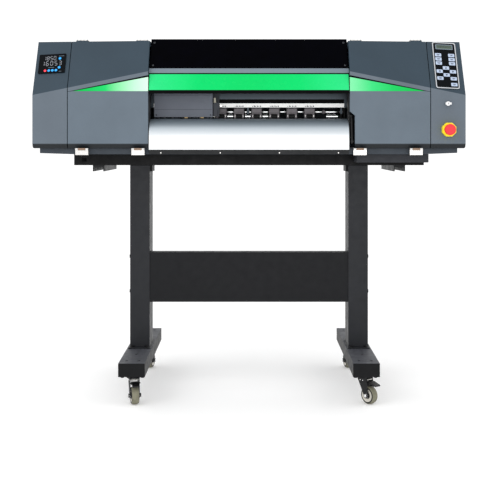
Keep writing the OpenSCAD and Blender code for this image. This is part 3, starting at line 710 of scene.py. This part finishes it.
def keypad():
    """Bezel, display, keys and generic marks of the membrane keypad."""
    at = panel_frame(KEYPAD_AT)
    width, height = KEYPAD_SIZE
    border = 4.2
    bezel = Shape()
    bezel.border(at, (0, 0), (width, height, 8),
                 (width - 2 * border, height - 2 * border, 5), 0.2, 3.7)
    bezel.piece("keypad_bezel", ALU, "chassis", "satin_alu", 0.5)
    display(at, height / 2 - 20.5)
    keys = Shape()
    marks = Shape()
    mark_low, mark_high = 3.2, 3.5
    plain = [(-25, 44), (-25, 26), (-25, 8), (25, 44), (25, 26), (25, 8),
             (-25, -57), (25, -57), (25, -82)]
    arrows = {(0, -12): 90, (0, -42): 270, (-25, -27): 180, (25, -27): 0}
    for place in plain + list(arrows):
        keys.pad(at, place, (23.5, 14, 2.2), 2.1, 3.3)
    for x, y in plain:
        for half, low, high in ((6, 0.6, 2.4), (4, -2.6, -0.8)):
            marks.block(at, (x - half, x + half), (y + low, y + high),
                        (mark_low, mark_high))
    for (x, y), heading in arrows.items():
        marks.prism(at @ spot(x, y, 0, turned_about(heading, "Z")),
                    [(4.2, 0), (-2.6, 4.4), (-2.6, -4.4)],
                    mark_low, mark_high)
    keys.piece("keypad_keys", KEYS, "chassis", "keypad_film")
    marks.piece("keypad_marks", PRINT, "chassis", "keypad_film")


SEGMENTS = {"0": "abcdef", "1": "bc", "3": "abgcd", "5": "afgcd",
            "6": "afgedc", "8": "abcdefg"}


def digit(shape, at, centre, height, figure):
    """One seven-segment figure made of slim bars."""
    half_w, half_h = height * 0.24, height / 2
    bar = height * 0.055
    gap = bar * 1.3
    level = (-half_w + gap, half_w - gap)
    upper = (gap, half_h - gap)
    lower = (-half_h + gap, -gap)

    def about(middle):
        return (middle - bar, middle + bar)

    spans = {"a": (level, about(half_h)), "g": (level, about(0)),
             "d": (level, about(-half_h)), "b": (about(half_w), upper),
             "c": (about(half_w), lower), "f": (about(-half_w), upper),
             "e": (about(-half_w), lower)}
    x, y = centre
    for name in SEGMENTS[figure]:
        (x0, x1), (y0, y1) = spans[name]
        shape.block(at, (x + x0, x + x1), (y + y0, y + y1), (4.0, 4.35))


def temperature_panel():
    """Lit figures and touch buttons of the temperature controller."""
    at = MIRROR @ panel_frame(TEMP_AT) @ MIRROR
    rim = Shape()
    rim.border(at, (0, 0), (100, 81, 2), (96.4, 77.4, 1.4), 3.6, 4.7)
    rim.piece("temp_rim", FILM, "chassis", "black_plastic", 0.3)
    figures = Shape()
    rows = (("1850", -29, 12.6, 23, 15.5), ("16053", -34, 16.2, 0.5, 18))
    for text, left, pitch, y, height in rows:
        for i, figure in enumerate(text):
            digit(figures, at, (left + pitch * i, y), height, figure)
    figures.piece("temp_figures", DIGIT, "chassis", "black_plastic")
    blue, red = Shape(), Shape()
    dome = [(5.1, 3.9), (5.0, 4.5), (4.0, 4.9), (1.2, 5.1)]
    for x, y in ((28, 20.5), (28, -18.5), (-10, -30), (3.5, -30), (17, -30)):
        blue.turned(at @ spot(x, y, 0), dome, 20)
    red.turned(at @ spot(-24, -30, 0), dome, 20)
    blue.piece("temp_buttons_blue", BLUE_LAMP, "chassis", "black_plastic")
    red.piece("temp_button_red", RED_LAMP, "chassis", "black_plastic")
    rules = Shape()
    thick = 1.4
    for x, y, wide in ((33, 31, 20), (-2, -17.5, 22), (33, -35.5, 9)):
        rules.block(at, (x - wide / 2, x + wide / 2),
                    (y - thick / 2, y + thick / 2), (4.0, 4.2))
    rules.piece("temp_rules", TRIM, "chassis", "black_plastic")


def key_and_stop():
    """Ring round the key switch, its slot, and the stop button's ring."""
    x, z = KEY_AT
    ring = Shape()
    ring.hoop(spot(x, FRONT_Y, z, TO_FRONT), [
        (9.6, 0), (11.8, 0), (11.8, 0.6), (11.2, 1.2), (9.6, 1.2)])
    ring.piece("key_ring", HOUSING, "chassis", "cover_dark")
    slot_cut = Shape()
    slot_cut.block(UP, (x - 0.8, x + 0.8), (-250.5, -249.8), (z - 3, z + 3))
    slot_cut.piece("key_slot", BLACK, "key", "black_plastic")
    x, z = STOP_AT
    groove = Shape()
    groove.hoop(spot(x, -274.1, z, TO_FRONT), [
        (15.2, 0), (16.6, 0), (16.6, 0.7), (15.2, 0.7)], 40)
    groove.piece("stop_face_ring", RED, "stop_button", "red_plastic")


# ------------------------------------------------------------- front detail


def lid_details():
    """Lid screws, and a black line painted as the shadow along the green
    band's upper edge.
    """
    screws = Shape()
    turn = facing_slope(WINDOW_RUN, WINDOW_RISE)
    for x in (-355, 355):
        for y, z in ((-128.3, 1316.0), (-196.0, 1226.0)):
            screw(screws, spot(x, y, z, turn), 4.2, 2.0)
    screws.piece("lid_screws", SCREW_DARK, "lid", "bright_steel")
    line = Shape()
    face = spot(0, -208.94, 1192.4, facing_slope(BAND_RUN, BAND_RISE))
    half = LID_X - 2.1
    line.block(face, (-half, half), (0, 4.7), (-0.4, 0.4))
    line.piece("lid_band_shadow_line", SHADE_BLACK, "lid", "black_plastic", 0.2)


def front_details():
    """Screws of the front strip and door hinges, and the hinge sleeves."""
    screws = Shape()
    screw_z = 903.5
    for x in (-322, -105, 111, 327):
        screw(screws, spot(x, FRONT_Y, screw_z, TO_FRONT), 2.5, 1.3)
    screws.piece("strip_screws", STEEL, "chassis", "bright_steel")
    leaves = Shape()
    for side in (-1, 1):
        for x in DOOR_HINGE_X:
            for dx in (-15, 0, 15):
                screw(leaves, spot(side * x + dx, DOOR_PIN[0], screw_z,
                                   TO_FRONT), 2.6, 1.2)
    leaves.piece("hinge_screws", CHROME, "chassis", "chrome_steel")
    for side, body in ((-1, "lower_door_left"), (1, "lower_door_right")):
        sleeves = Shape()
        length = 26.8
        for x in DOOR_HINGE_X:
            sleeves.sleeve(spot(side * x - length / 2, *DOOR_PIN, TO_RIGHT),
                           2.3, 4.5, length, 0.2, 0.8, 28)
        sleeves.piece("hinge_sleeves_" + body, KNUCKLE_SHADE, body, "bright_steel")


def cover_sleeves():
    """Turned sleeves over the upper covers' hinge knuckles."""
    for side, body in ((-1, "cover_left"), (1, "cover_right")):
        sleeves = Shape()
        length = 11.2
        for x in COVER_HINGE_X:
            for dx in (-12.5, 0, 12.5):
                left = side * x + dx - length / 2
                sleeves.sleeve(spot(left, *COVER_PIN, TO_RIGHT),
                               3.0, 4.7, length, 0.2, 0.6, 24)
        sleeves.piece("knuckles_" + body, STEEL, body, "bright_steel")


def scale_strip():
    """Scale strip with a painted glow, its generic marks, and the black band
    painted as shadow above it.
    """
    half = 362
    strip = Shape()
    strip.block(UP, (-half, half), (-85.5, -84.9), (1074.6, 1089.6))
    strip.piece("scale_strip", STRIP_GLOW, "chassis", "satin_alu", 0.15)
    marks = Shape()
    for x in PINCH_XS:
        for i, wide in enumerate((3, 5, 2.5, 4, 3, 5)):
            left = x - 16.5 + 5.8 * i
            marks.block(UP, (left, left + wide), (-85.75, -85.4),
                        (1077.2, 1081.4 if i % 2 else 1080.4))
    marks.piece("scale_marks", PRINT, "chassis", "black_plastic")
    band = Shape()
    band.block(UP, (-half, half), (-84.2, -83.2), (1090.6, 1105.4))
    band.piece("rail_shadow_band", SHADE_BLACK, "chassis", "black_plastic")


def lift_bars():
    """Sleeves on the lift bar, and the lower spring bar between blocks."""
    half_block = 20.5
    hanger, half_hanger = -4, 5
    spring_bar_end = 120
    sleeves = Shape()
    lower = Shape()
    spans = [(251, 279.2), (292, 346)]
    for x in PINCH_XS[:-1]:
        left, right = x - PINCH_PITCH + half_block, x - half_block
        if left < hanger < right:
            spans += [(left, hanger - half_hanger),
                      (hanger + half_hanger, right)]
        else:
            spans.append((left, right))
        if x < spring_bar_end:
            length = right - left - 4
            lower.turned(spot(left + 2, -73, 1040.9, TO_RIGHT), [
                (6.6, 0), (7.3, 0.8), (7.3, length - 0.8), (6.6, length)],
                24)
    for left, right in spans:
        sleeves.sleeve(spot(left, *LIFT_BAR, TO_RIGHT),
                       3.6, 5.9, right - left, 0.3, 0.8, 24)
    lower.turned(spot(294, -73, 1040.5, TO_RIGHT), [
        (6.0, 0), (7.2, 0.8), (7.2, 44), (6.0, 45)], 24)
    sleeves.piece("lift_sleeves", CHROME, "pinch_bank", "chrome_steel")
    lower.piece("spring_bar", CHROME, "pinch_bank", "chrome_steel")


def pinch_fronts():
    """Face plates, screws and studs of the pinch arm blocks."""
    plates = Shape()
    for x in PINCH_XS:
        plates.pad(spot(x, -93, 1062, TO_FRONT), (0, 0), (34, 13, 2), 0, 1.0)
        screw(plates, spot(x, -94, 1062, TO_FRONT), 2.4, 0.9)
    plates.piece("pinch_faces", BLOCK, "pinch_bank", "satin_alu")
    studs = Shape()
    for x in PINCH_XS:
        for dx in (-15.5, 15.5):
            studs.turned(spot(x + dx, -88, 1041.5, TO_FRONT), [
                (1.7, 0), (1.7, 2.0), (1.2, 2.6)], 16)
    studs.piece("pinch_studs", STEEL, "pinch_bank", "chrome_steel")


def cutter_knob():
    """Fluted knob on the cutter bracket."""
    x, z = KNOB_AT
    ridge, valley = circle(4.9, 40), circle(4.4, 40)
    flutes = [ridge[i] if i % 2 else valley[i] for i in range(40)]
    knob = Shape()
    knob.prism(spot(x, CARRIAGE_Y - 0.4, z, TO_BACK), flutes, 0, 7)
    knob.turned(spot(x, CARRIAGE_Y - 0.2, z, TO_FRONT), [
        (3.9, 0), (3.5, 1.0), (1.0, 1.2)], 24)
    knob.piece("cutter_knob", STEEL, "carriage", "chrome_steel", 0.2)


def carriage_details():
    """Seam lines and corner screws of the carriage cover."""
    lines = Shape()
    for z in (1064, 1118):
        lines.block(UP, (-353, -138.5), (CARRIAGE_Y - 0.35, CARRIAGE_Y + 0.1),
                    (z, z + 0.9))
    lines.piece("carriage_lines", BLACK, "carriage", "black_plastic")
    screws = Shape()
    for x in (-347, -144):
        for z in (1044, 1160):
            screw(screws, spot(x, CARRIAGE_Y, z, TO_FRONT), 2.6, 1.1)
    screws.piece("carriage_screws", BLACK, "carriage", "black_plastic")


# ------------------------------------------------------------ stand, casters


def bolt(shape, at, radius, height):
    """Hexagon bolt head on a round washer."""
    washer = 0.9
    shape.turned(at, [(radius, 0), (radius, washer), (radius * 0.6, 1.0)], 28)
    shape.prism(at, circle(radius, 6), washer, height - 0.4)
    shape.turned(at, [(radius * 0.7, height - 0.6),
                      (radius * 0.7, height - 0.2),
                      (radius * 0.3, height)], 20)


def bolt_heads():
    """Bolts with washers in place of the plain CAD heads."""
    heads = Shape()
    for side in (-1, 1):
        outer = TO_RIGHT if side > 0 else TO_LEFT
        for z in (369, 503):
            for y in (-34, 20):
                bolt(heads, spot(side * (COLUMN_X + COLUMN_HALF), y, z, outer),
                     7, 5)
        for s in (-1, 1):
            for y in (-76, 76):
                bolt(heads, spot(side * (COLUMN_X + s * 26), y, 161), 7, 5)
            for y in (-300, -224, 224, 300):
                bolt(heads, spot(side * (COLUMN_X + s * 36), y, 103, DOWN),
                     6, 5)
        bolt(heads, spot(side * 523, -61, 890, TO_FRONT), 2.5, 2)
    piece = heads.piece("bolt_heads", BEAM, "chassis", "bright_steel", 0.3)
    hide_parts("stand_bolts")


def caster(corner):
    """Tyre, wheel rings, hub, swivel race and axle nuts of one caster."""
    at = caster_frame(corner)
    axle = at @ spot(TRAIL, 0, WHEEL_R, TO_FRONT)
    wheel, yoke = "wheel_" + corner, "yoke_" + corner
    w = WHEEL_HALF
    r = WHEEL_R
    tyre = Shape()
    half = [(r - 6.5, -w + 1), (r - 3.6, -w + 1.2), (r - 1.6, -w + 3.2),
            (r - 0.5, -w + 6.5), (r, -3)]
    tyre.hoop(axle, half + [(radius, -y) for radius, y in half[::-1]], 64)
    piece = tyre.piece("tyre_" + corner, TYRE, wheel, "tyre_grey")
    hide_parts("caster_wheel_" + corner)
    ring = Shape()
    hub = Shape()
    for s in (-1, 1):
        ring.hoop(axle, [
            (r - 8.4, s * (w - 0.3)), (r - 4.6, s * (w - 0.3)),
            (r - 3.7, s * (w - 1.4)), (r - 8.4, s * (w - 4))], 64)
        ring.hoop(axle, [
            (5, s * (w - 0.4)), (10.5, s * (w - 0.6)),
            (12.4, s * (w - 3)), (12.4, s * 2), (5, s * 2)])
        hub.hoop(axle, [
            (12.5, s * (w - 3)), (17, s * (w - 3.2)),
            (20.5, s * (w - 0.9)), (r - 8.5, s * (w - 0.7)),
            (r - 6.6, s * (w - 3)), (r - 6.6, s * 1), (12.5, s * 1)])
    ring.piece("wheel_rings_" + corner, BLACK, wheel, "black_plastic")
    hub.piece("hub_" + corner, HUB, wheel, "tyre_grey")
    race = Shape()
    race.hoop(at, [
        (15, 90.6), (24.8, 90.6), (26.2, 92.2), (26.2, 94.2),
        (24.8, 95.4), (15, 95.4)], 40)
    race.piece("race_" + corner, BLACK_PLATE, yoke, "black_plate")
    nuts = Shape()
    for s, outward in ((-1, TO_FRONT), (1, TO_BACK)):
        nuts.turned(at @ spot(TRAIL, s * 17.6, WHEEL_R, outward), [
            (7.4, 0), (7.4, 1.0), (6.9, 1.2), (6.7, 4.6), (5.2, 6.2),
            (2.8, 7.0), (0.8, 7.2)], 24)
        for x in (-4, 8):
            nuts.turned(at @ spot(x, s * 17.9, 84, outward), [
                (2.2, 0), (2.0, 0.6), (0.8, 1.0)], 14)
    nuts.piece("axle_nuts_" + corner, CHROME, yoke, "chrome_steel")


def brake_details(corner):
    """Spring plate on the yoke, and grip ribs across the pedal's toe."""
    at = caster_frame(corner)
    plate = Shape()
    plate.prism(at @ spot(0, 13, 0, TO_FRONT), [
        (2, 87.4), (2, 84.6), (24, 84.2), (27, 86.6), (26, 88.4)], 0, 26)
    plate.piece("spring_plate_" + corner, STEEL, "yoke_" + corner,
                "bright_steel", 0.4)
    ribs = Shape()
    toe_x, toe_z, toe_fall = TRAIL + 12, 80.6, 0.32
    for i in range(5):
        x = toe_x + 4 + 4.6 * i
        z = toe_z - toe_fall * (x - toe_x)
        ribs.block(at, (x - 0.9, x + 0.9), (-11.5, 11.5), (z - 0.6, z + 0.7))
    ribs.piece("pedal_ribs_" + corner, BLACK, "pedal_" + corner,
               "black_plastic", 0.3)


# --------------------------------------------------------------------- back


def back_screws():
    """Screws round the rear cover."""
    screws = Shape()
    for x in (-640, -430, -215, 0, 215, 430, 640):
        for z in (938, 1298):
            screw(screws, spot(x, BACK_Y, z, TO_BACK), 4.2, 1.8)
    screws.piece("back_screws", STEEL, "chassis", "bright_steel")


def vent_louvres():
    """Sloping louvres and their frames over the two rear vents."""
    louvres = Shape()
    y = BACK_Y
    vent_x, vent_z, wide = 515, 1135, 118
    lowest, pitch = 1060, 16
    for side in (-1, 1):
        for i in range(10):
            z = lowest + pitch * i
            louvres.prism(
                spot(side * vent_x - wide / 2, 0, 0, IN_SIDE_VIEW),
                [(y, z + 9.5), (y + 4.4, z + 1.0), (y + 4.4, z - 0.2),
                 (y - 1, z + 7.5)], 0, wide)
        louvres.border(spot(side * vent_x, y, vent_z, TO_BACK), (0, 0),
                       (140, 182, 6), (130, 172, 4), 0, 1.6)
    louvres.piece("vent_louvres", TRAY, "chassis", "tray_grey", 0.2)


def rear_openings():
    """Lip of the media slot, pins of the inlet, and the rocker switch."""
    y = BACK_Y
    lip = Shape()
    lip.border(spot(0, y, 993.5, TO_BACK), (0, 0), (712, 49, 5),
               (699, 36.4, 2), 0, 2.4)
    lip.piece("media_slot_lip", BLACK, "chassis", "black_plastic", 0.4)
    pins = Shape()
    for x, z in ((718, 974), (734, 974), (726, 979)):
        pins.block(UP, (x - 1, x + 1), (y - 14, y - 1), (z - 2.5, z + 2.5))
    pins.piece("inlet_pins", STEEL, "chassis", "bright_steel")
    switch = Shape()
    x, z, wide = 726, 1030, 24
    switch.border(spot(x, y, z, TO_BACK), (0, 0), (30, 24, 2), (24, 18, 1),
                  0, 2.2)
    switch.prism(spot(x - wide / 2, 0, 0, IN_SIDE_VIEW), [
        (y, z - 9), (y + 3, z - 8.6), (y + 1, z), (y + 4.4, z + 8.6),
        (y, z + 9)], 0, wide)
    switch.piece("back_rocker", BLACK, "chassis", "black_plastic", 0.3)


def shaft_collars():
    """Clamping collars on the media shaft."""
    collars = Shape()
    length = 10
    for side in (-1, 1):
        for x in (300, 366, 560):
            collars.sleeve(spot(side * x - length / 2, *SHAFT_PIN, TO_RIGHT),
                           9.9, 16, length, 0.6, 0.6, 32)
    collars.piece("shaft_collars", BLACK_PLATE, "roll_shaft", "black_plate")


# -------------------------------------------------------- camera and stage


def make_camera():
    """Front view from waist height, shifted to set the object high.

    Place and clipping are in metres.
    """
    data = bpy.data.cameras.new("camera")
    data.lens = 70
    data.sensor_width = 36
    data.shift_x = 0.002
    data.shift_y = -0.216
    data.clip_start = 0.1
    data.clip_end = 60
    cam = bpy.data.objects.new("camera", data)
    cam.location = (0.0, -3.785, 0.943)
    cam.rotation_euler = (math.radians(90), 0, 0)
    bpy.context.scene.collection.objects.link(cam)
    bpy.context.scene.camera = cam


def area_light(name, place, target, size, power):
    """Rectangular lamp aimed at a target, in metres and watts."""
    data = bpy.data.lights.new(name, "AREA")
    data.shape = "RECTANGLE"
    data.size, data.size_y = size
    data.energy = power
    lamp_obj = bpy.data.objects.new(name, data)
    lamp_obj.location = place
    aim = Vector(target) - Vector(place)
    lamp_obj.rotation_euler = aim.to_track_quat("-Z", "Y").to_euler()
    bpy.context.scene.collection.objects.link(lamp_obj)


def make_stage():
    """Pale floor and an even, soft white studio."""
    mesh = bpy.data.meshes.new("floor")
    reach = 60
    mesh.from_pydata([(-reach, -reach, 0), (reach, -reach, 0),
                      (reach, reach, 0), (-reach, reach, 0)],
                     [], [(0, 1, 2, 3)])
    floor = bpy.data.objects.new("floor", mesh)
    bpy.context.scene.collection.objects.link(floor)
    look = Surface("studio_floor")
    look.mottle((0.97, 0.97, 0.97, 1), 0.6, 0.01)
    look.set(Roughness=1.0, Specular_IOR_Level=0.0,
             Emission_Color=WHITE, Emission_Strength=0.08)
    mesh.materials.append(look.mat)
    world = bpy.data.worlds.new("studio")
    world.use_nodes = True
    sky = world.node_tree.nodes["Background"]
    sky.inputs["Color"].default_value = WHITE
    sky.inputs["Strength"].default_value = 1.12
    bpy.context.scene.world = world
    area_light("key", (-2.4, -3.0, 3.0), (0, 0, 0.9), (2.5, 2.0), 22)
    area_light("front", (0.2, -3.6, 1.15), (0, 0, 1.05), (1.6, 0.8), 16)
    bpy.context.scene.view_settings.view_transform = "Standard"


finish_nodes()
make_camera()
make_stage()
keypad()
temperature_panel()
key_and_stop()
lid_details()
front_details()
cover_sleeves()
scale_strip()
lift_bars()
pinch_fronts()
cutter_knob()
carriage_details()
bolt_heads()
for corner in CASTERS:
    caster(corner)
for corner in BRAKED:
    brake_details(corner)
back_screws()
vent_louvres()
rear_openings()
shaft_collars()
